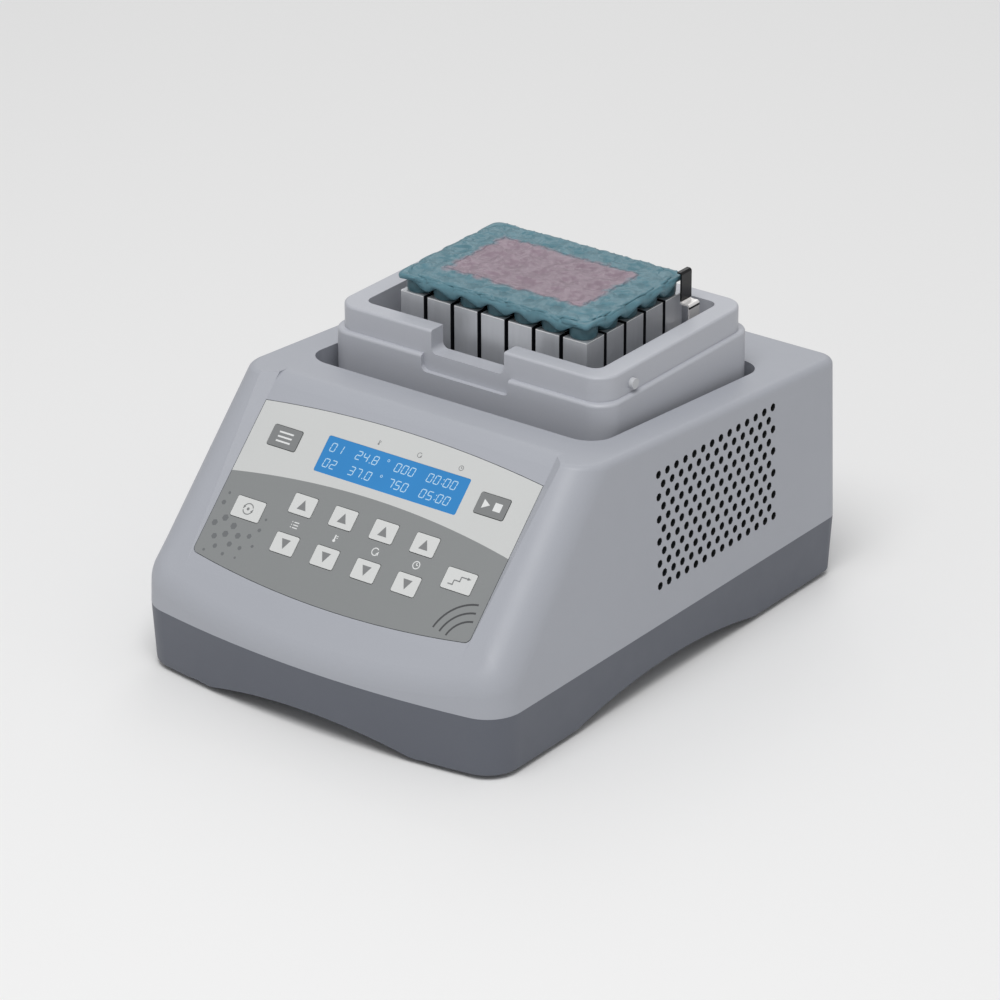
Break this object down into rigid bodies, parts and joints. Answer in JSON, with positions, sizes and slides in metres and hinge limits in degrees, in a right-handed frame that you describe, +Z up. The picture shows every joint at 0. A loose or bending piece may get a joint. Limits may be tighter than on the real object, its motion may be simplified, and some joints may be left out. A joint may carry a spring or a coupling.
{
  "type": "thermal mixer",
  "caption": "Bench thermal mixer: sloped keypad panel with display, orbiting platform in a well, slotted heating block full of closed microtubes, vented side.",
  "frame": {"origin": "on the bench under the middle of the body", "axes": "+Z up, -Y to the front panel, +X to the user's right"},
  "size_m": [0.2044, 0.278, 0.1638],
  "materials": {
    "housing_plastic": "satin",
    "base_plastic": "satin",
    "surround_plastic": "satin",
    "rubber": "matt",
    "steel_screws": "satin",
    "overlay_film": "satin",
    "clear_window": "polished",
    "display": "gloss",
    "circuit_board": "satin",
    "zinc_steel": "satin",
    "turned_steel": "satin",
    "brass": "satin",
    "machined_aluminium": "satin",
    "bearing_steel": "polished",
    "motor_can": "satin",
    "ceramic": "matt",
    "foam": "matt",
    "block_aluminium": "satin",
    "spring_steel": "polished",
    "teal_tube": "satin",
    "pink_tube": "satin",
    "black_plastic": "satin",
    "nickel_pins": "polished",
    "fuse_glass": "polished",
    "light_key": "satin",
    "dark_key": "satin"
  },
  "bodies": {
    "base": {"base_tray": "base_plastic", "chassis_plate": "zinc_steel", "chassis_screws": "steel_screws", "closing_screws": "steel_screws", "deck_bearings": "bearing_steel", "deck_pillars": "turned_steel", "deck_screws": "steel_screws", "display_module": "display", "display_window": "clear_window", "fan_bracket": "zinc_steel", "fan_frame": "black_plastic", "inlet_pins": "nickel_pins", "keypad_board": "circuit_board", "main_board": "circuit_board", "mains_inlet": "black_plastic", "mechanism_deck": "machined_aluminium", "motor": "motor_can", "motor_screws": "steel_screws", "panel_overlay": "overlay_film", "power_supply": "circuit_board", "rubber_feet": "rubber", "switch_frame": "black_plastic", "upper_housing": "housing_plastic"},
    "eccentric": {"eccentric_shaft": "turned_steel", "counterweight": "brass"},
    "platform": {"drive_plate": "machined_aluminium", "platform_bearings": "bearing_steel", "surround_posts": "turned_steel", "heat_sink": "machined_aluminium", "thermoelectric_modules": "ceramic", "insulation_frame": "foam", "transfer_plate": "machined_aluminium", "block_surround": "surround_plastic", "surround_screws": "steel_screws"},
    "block": {"heating_block": "block_aluminium", "clip_bracket": "spring_steel"},
    "clip": {"retaining_clip": "spring_steel"},
    "tubes": {"tubes_outer": "teal_tube", "tubes_inner": "pink_tube"},
    "drawer": {"fuse_drawer": "black_plastic", "fuse": "fuse_glass"},
    "rocker": {"power_rocker": "black_plastic"},
    "rotor": {"fan_rotor": "black_plastic"},
    "idler_1": {"idler_crank_1": "turned_steel"},
    "idler_2": {"idler_crank_2": "turned_steel"},
    "idler_3": {"idler_crank_3": "turned_steel"},
    "idler_4": {"idler_crank_4": "turned_steel"},
    "key_program_up": {"key_program_up": "light_key"},
    "key_program_down": {"key_program_down": "light_key"},
    "key_temperature_up": {"key_temperature_up": "light_key"},
    "key_temperature_down": {"key_temperature_down": "light_key"},
    "key_speed_up": {"key_speed_up": "light_key"},
    "key_speed_down": {"key_speed_down": "light_key"},
    "key_time_up": {"key_time_up": "light_key"},
    "key_time_down": {"key_time_down": "light_key"},
    "key_menu": {"key_menu": "dark_key"},
    "key_start_stop": {"key_start_stop": "dark_key"},
    "key_quick_mix": {"key_quick_mix": "light_key"},
    "key_multi_step": {"key_multi_step": "light_key"}
  },
  "joints": [
    {"name": "motor_spin", "type": "hinge", "parent": "base", "child": "eccentric", "pos_m": [0, 0.0385, 0.072], "axis": [0, 0, 1], "continuous": true},
    {"name": "platform_orbit", "type": "hinge", "parent": "eccentric", "child": "platform", "pos_m": [0, 0.04, 0.084], "axis": [0, 0, 1], "continuous": true},
    {"name": "idler_1_spin", "type": "hinge", "parent": "base", "child": "idler_1", "pos_m": [-0.044, 0.0065, 0.07], "axis": [0, 0, 1], "continuous": true},
    {"name": "idler_2_spin", "type": "hinge", "parent": "base", "child": "idler_2", "pos_m": [-0.044, 0.0705, 0.07], "axis": [0, 0, 1], "continuous": true},
    {"name": "idler_3_spin", "type": "hinge", "parent": "base", "child": "idler_3", "pos_m": [0.044, 0.0065, 0.07], "axis": [0, 0, 1], "continuous": true},
    {"name": "idler_4_spin", "type": "hinge", "parent": "base", "child": "idler_4", "pos_m": [0.044, 0.0705, 0.07], "axis": [0, 0, 1], "continuous": true},
    {"name": "block_lift", "type": "slide", "parent": "platform", "child": "block", "axis": [0, 0, 1], "range_m": [0, 0.06]},
    {"name": "tubes_lift", "type": "slide", "parent": "block", "child": "tubes", "axis": [0, 0, 1], "range_m": [0, 0.045]},
    {"name": "clip_spring", "type": "hinge", "parent": "block", "child": "clip", "pos_m": [0.0563, 0.075, 0.127], "axis": [0, 1, 0], "range_deg": [0, 8], "stiffness_Nm_per_rad": 0.2},
    {"name": "drawer_slide", "type": "slide", "parent": "base", "child": "drawer", "axis": [0, 1, 0], "range_m": [0, 0.018]},
    {"name": "rocker_tilt", "type": "hinge", "parent": "base", "child": "rocker", "pos_m": [0.066, 0.1335, 0.062], "axis": [1, 0, 0], "range_deg": [0, 16]},
    {"name": "fan_spin", "type": "hinge", "parent": "base", "child": "rotor", "pos_m": [0.0834, 0.0375, 0.053], "axis": [1, 0, 0], "continuous": true},
    {"name": "press_program_up", "type": "slide", "parent": "base", "child": "key_program_up", "axis": [0, 0.7096, -0.7046], "range_m": [0, 0.0004], "stiffness_N_per_m": 800},
    {"name": "press_program_down", "type": "slide", "parent": "base", "child": "key_program_down", "axis": [0, 0.7096, -0.7046], "range_m": [0, 0.0004], "stiffness_N_per_m": 800},
    {"name": "press_temperature_up", "type": "slide", "parent": "base", "child": "key_temperature_up", "axis": [0, 0.7096, -0.7046], "range_m": [0, 0.0004], "stiffness_N_per_m": 800},
    {"name": "press_temperature_down", "type": "slide", "parent": "base", "child": "key_temperature_down", "axis": [0, 0.7096, -0.7046], "range_m": [0, 0.0004], "stiffness_N_per_m": 800},
    {"name": "press_speed_up", "type": "slide", "parent": "base", "child": "key_speed_up", "axis": [0, 0.7096, -0.7046], "range_m": [0, 0.0004], "stiffness_N_per_m": 800},
    {"name": "press_speed_down", "type": "slide", "parent": "base", "child": "key_speed_down", "axis": [0, 0.7096, -0.7046], "range_m": [0, 0.0004], "stiffness_N_per_m": 800},
    {"name": "press_time_up", "type": "slide", "parent": "base", "child": "key_time_up", "axis": [0, 0.7096, -0.7046], "range_m": [0, 0.0004], "stiffness_N_per_m": 800},
    {"name": "press_time_down", "type": "slide", "parent": "base", "child": "key_time_down", "axis": [0, 0.7096, -0.7046], "range_m": [0, 0.0004], "stiffness_N_per_m": 800},
    {"name": "press_menu", "type": "slide", "parent": "base", "child": "key_menu", "axis": [0, 0.7096, -0.7046], "range_m": [0, 0.0004], "stiffness_N_per_m": 800},
    {"name": "press_start_stop", "type": "slide", "parent": "base", "child": "key_start_stop", "axis": [0, 0.7096, -0.7046], "range_m": [0, 0.0004], "stiffness_N_per_m": 800},
    {"name": "press_quick_mix", "type": "slide", "parent": "base", "child": "key_quick_mix", "axis": [0, 0.7096, -0.7046], "range_m": [0, 0.0004], "stiffness_N_per_m": 800},
    {"name": "press_multi_step", "type": "slide", "parent": "base", "child": "key_multi_step", "axis": [0, 0.7096, -0.7046], "range_m": [0, 0.0004], "stiffness_N_per_m": 800}
  ],
  "couplings": [
    {"joint": "platform_orbit", "follows": "motor_spin", "ratio": -1},
    {"joint": "idler_1_spin", "follows": "motor_spin", "ratio": 1},
    {"joint": "idler_2_spin", "follows": "motor_spin", "ratio": 1},
    {"joint": "idler_3_spin", "follows": "motor_spin", "ratio": 1},
    {"joint": "idler_4_spin", "follows": "motor_spin", "ratio": 1}
  ]
}
